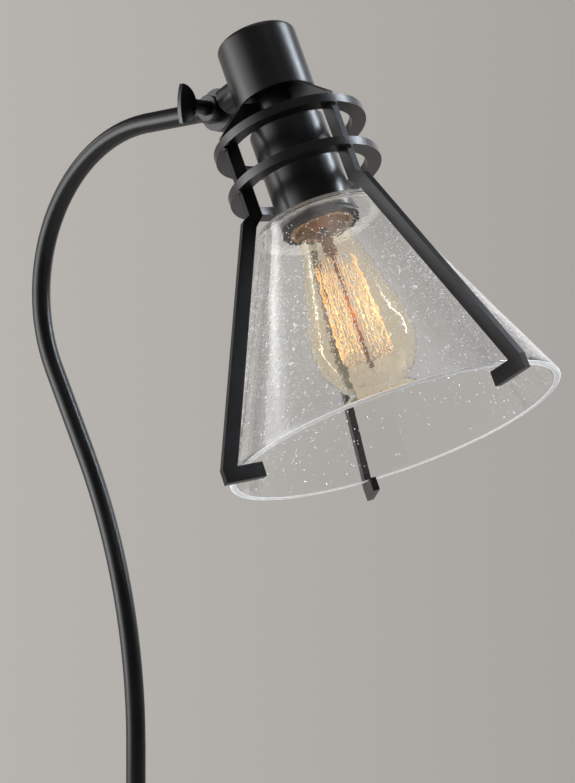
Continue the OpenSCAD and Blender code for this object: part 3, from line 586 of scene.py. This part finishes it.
def filament_wire():
    """Closed tube along the path."""
    path = filament_path()
    vertices, faces = [], []
    for i, (point, out) in enumerate(path):
        along = (path[min(i + 1, len(path) - 1)][0] - path[max(i - 1, 0)][0]).normalized()
        side = (out - along * out.dot(along)).normalized()
        other = along.cross(side)
        for j in range(WIRE_SIDES):
            a = 2 * math.pi * j / WIRE_SIDES
            vertices.append(point + (side * math.cos(a) + other * math.sin(a)) * WIRE_R)
    for i in range(len(path) - 1):
        low, high = i * WIRE_SIDES, (i + 1) * WIRE_SIDES
        for j in range(WIRE_SIDES):
            k = (j + 1) % WIRE_SIDES
            faces.append((low + j, low + k, high + k, high + j))
    faces.append(tuple(reversed(range(WIRE_SIDES))))
    faces.append(tuple(len(vertices) - WIRE_SIDES + j for j in range(WIRE_SIDES)))
    return add_mesh("filament_strands", vertices, faces, HEAD)


filament = filament_wire()
filament.data.materials.append(FILAMENT)
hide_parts("bulb_filament")
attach(filament, "head")

glow_lamp = bpy.data.lights.new("bulb_glow", "POINT")
glow_lamp.energy = GLOW_POWER
glow_lamp.color = GLOW_COLOUR
glow_lamp.shadow_soft_size = GLOW_R
glow = bpy.data.objects.new("bulb_glow", glow_lamp)
glow.location = HEAD @ Vector((0, 0, BULB_TIP + GLOW_RISE))
glow.visible_camera = False
glow.visible_glossy = False
glow.visible_transmission = False
bpy.context.scene.collection.objects.link(glow)
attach(glow, "head")


# Weld beads under the rings, where the straps' outer edges pass them

def weld_beads():
    """Six uneven lumps, one at each strap under each ring."""
    vertices, faces = [], []
    points, sides = ball(subdivisions=3)
    for a in STRAP_ANGLES:
        for level in (SHADE_H + RING_LIFT, SHADE_H + RING_LIFT + RING_PITCH):
            turn = Matrix.Rotation(math.radians(a), 4, "Z")
            place = turn @ Vector((STRAP_OUT - BEAD_INSET, 0, level - BEAD_DROP))
            first = len(vertices)
            for p in points:
                lump = 1 + BEAD_LUMP * noise.noise(p * LUMP_SCALE + place * LUMP_SHIFT)
                sized = Vector((p.x * BEAD_R[0], p.y * BEAD_R[1], p.z * BEAD_R[2]))
                vertices.append(place + turn @ (sized * lump))
            faces.extend([tuple(first + i for i in f) for f in sides])
    return add_mesh("weld_beads", vertices, faces, HEAD)


beads = weld_beads()
beads.data.materials.append(BLACK)
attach(beads, "head")


# Stage: a pale floor, a backdrop tone in the world and soft lights

def ray_kind(nodes, links, *names):
    """1 for a ray of one of the kinds named, and 0 for any other."""
    path = nodes.new("ShaderNodeLightPath")
    value = path.outputs[names[0]]
    for name in names[1:]:
        value = combine(nodes, links, "MAXIMUM", value, path.outputs[name])
    return value


def stage_floor():
    """Pale floor that keeps the shadow; what the eye, gloss and glass see of it is lifted to a
    pale tone."""
    floor = lathe("floor", [(FLOOR_HOLE_R, 0), (FLOOR_RADIUS, 0)], Matrix.Identity(4),
                  sides=PLAIN_SIDES, closed=False)
    material, nodes, links = new_material("floor")
    bsdf = shader(nodes)
    broad = noise_node(nodes, links, FLOOR_CLOUD, detail=3.0)
    links.new(ramp(nodes, links, broad, *FLOOR_TONES), bsdf.inputs["Base Color"])
    bsdf.inputs["Roughness"].default_value = FLOOR_ROUGH
    seen = ray_kind(nodes, links, "Is Camera Ray", "Is Glossy Ray", "Is Transmission Ray")
    links.new(spread(nodes, links, seen, 0, FLOOR_LIFT, 0, 1), bsdf.inputs["Emission Strength"])
    bsdf.inputs["Emission Color"].default_value = (*BACKDROP_LEFT, 1)
    floor.data.materials.append(material)


def stage_world():
    """The backdrop's tone for what the eye and the glass see, and for gloss, to which the room in
    front of the backdrop and above it is dimmer; an even fill for the rest."""
    world = bpy.data.worlds.new("studio")
    bpy.context.scene.world = world
    world.use_nodes = True
    nodes, links = world.node_tree.nodes, world.node_tree.links
    place = nodes.new("ShaderNodeTexCoord")

    def toward(direction, low, high, start, end):
        """Number that goes from low to high with a ray's cosine to a direction."""
        share = nodes.new("ShaderNodeVectorMath")
        share.operation = "DOT_PRODUCT"
        share.inputs[1].default_value = direction
        links.new(place.outputs["Generated"], share.inputs[0])
        return spread(nodes, links, share.outputs["Value"], low, high, start, end)

    right = (math.cos(CAMERA_HEADING), math.sin(CAMERA_HEADING), 0)
    ahead = (-math.sin(CAMERA_HEADING), math.cos(CAMERA_HEADING), 0)
    up = (0, 0, 1)
    tone = ramp(nodes, links, toward(right, 0, 1, *TONE_SPAN), BACKDROP_LEFT, BACKDROP_RIGHT, 0, 1)
    fill = nodes["Background"]
    fill.inputs["Color"].default_value = (FILL, FILL, FILL, 1)
    gloss = nodes.new("ShaderNodeBackground")
    links.new(tone, gloss.inputs["Color"])
    level = combine(nodes, links, "MULTIPLY", toward(ahead, 0, 1, *AHEAD_SPAN),
                    toward(up, 1, 0, *UP_SPAN))
    links.new(spread(nodes, links, level, ROOM_SHARE, 1, 0, 1), gloss.inputs["Strength"])
    backdrop = nodes.new("ShaderNodeBackground")
    links.new(tone, backdrop.inputs["Color"])
    glossy = ray_kind(nodes, links, "Is Glossy Ray")
    seen = ray_kind(nodes, links, "Is Camera Ray", "Is Transmission Ray")
    mixed = fill.outputs["Background"]
    for share, other in ((glossy, gloss), (seen, backdrop)):
        mix = nodes.new("ShaderNodeMixShader")
        links.new(share, mix.inputs["Fac"])
        links.new(mixed, mix.inputs[1])
        links.new(other.outputs["Background"], mix.inputs[2])
        mixed = mix.outputs["Shader"]
    links.new(mixed, nodes["World Output"].inputs["Surface"])


def soft_light(name, turn, lift, distance, size, edge, radiance, colour, inside=False):
    """Panel that faces the head from turn degrees right of the camera and lift degrees up, and
    doesn't show through glass. Its edge is sharp at 0 and soft from the middle out at 0.25, and
    radiance is what its middle gives. One for the inside shows only in what reflects it from
    behind the shade's wall, and lights nothing else."""
    lamp = bpy.data.lights.new(name, "AREA")
    lamp.shape = "RECTANGLE"
    lamp.size, lamp.size_y = size
    lamp.energy = radiance * math.pi * size[0] * size[1]
    lamp.color = colour
    lamp.use_nodes = True
    nodes, links = lamp.node_tree.nodes, lamp.node_tree.links
    place = nodes.new("ShaderNodeNewGeometry")
    split = nodes.new("ShaderNodeSeparateXYZ")
    links.new(place.outputs["Parametric"], split.inputs["Vector"])
    shares = []
    for axis in ("X", "Y"):
        across = split.outputs[axis]
        rest = combine(nodes, links, "SUBTRACT", 1, across)
        hump = combine(nodes, links, "MULTIPLY", across, rest)
        shares.append(spread(nodes, links, hump, 0, 1, 0, edge))
    level = combine(nodes, links, "MULTIPLY", *shares)
    if inside:
        path = nodes.new("ShaderNodeLightPath")
        level = combine(nodes, links, "MINIMUM", level, path.outputs["Glossy Depth"])
    links.new(level, nodes["Emission"].inputs["Strength"])
    a = CAMERA_HEADING + math.radians(turn)
    e = math.radians(lift)
    away = Vector((math.sin(a) * math.cos(e), -math.cos(a) * math.cos(e), math.sin(e)))
    target = mouth + head_axis * SHADE_H
    light = bpy.data.objects.new(name, lamp)
    light.location = target + away * distance
    light.rotation_euler = away.to_track_quat("Z", "Y").to_euler()
    light.visible_camera = False
    light.visible_transmission = inside
    light.visible_glossy = not inside
    light.visible_diffuse = not inside
    bpy.context.scene.collection.objects.link(light)


stage_floor()
stage_world()
for panel, values in PANELS.items():
    if panel not in BULB_PANELS:
        soft_light(panel, *values)
    if panel not in OUTSIDE_PANELS:
        soft_light(panel + "_inside", *values, inside=True)

bpy.context.scene.view_settings.view_transform = "Standard"
